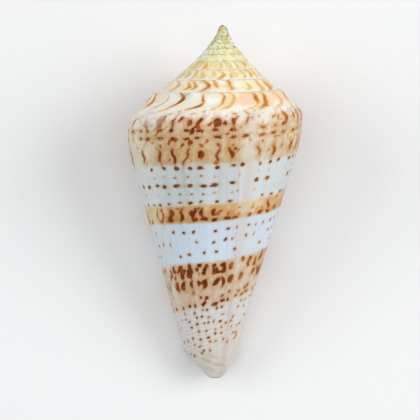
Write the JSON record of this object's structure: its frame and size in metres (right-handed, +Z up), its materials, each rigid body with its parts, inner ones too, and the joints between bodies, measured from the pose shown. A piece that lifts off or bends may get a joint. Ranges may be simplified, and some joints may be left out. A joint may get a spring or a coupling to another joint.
{
  "type": "cone shell",
  "caption": "Spiral-banded cone seashell with a tall pointed spire, lying on its mouth side; a slit mouth runs down the underside.",
  "frame": {"origin": "centre of the bounding box at the surface that the shell lies on", "axes": "+Z up from that surface, +Y along the shell towards the tip of the spire, +X to the right seen from above"},
  "size_m": [0.0276, 0.055, 0.0252],
  "materials": {
    "shell": "satin"
  },
  "bodies": {
    "root": {"shell": "shell"}
  },
  "joints": []
}
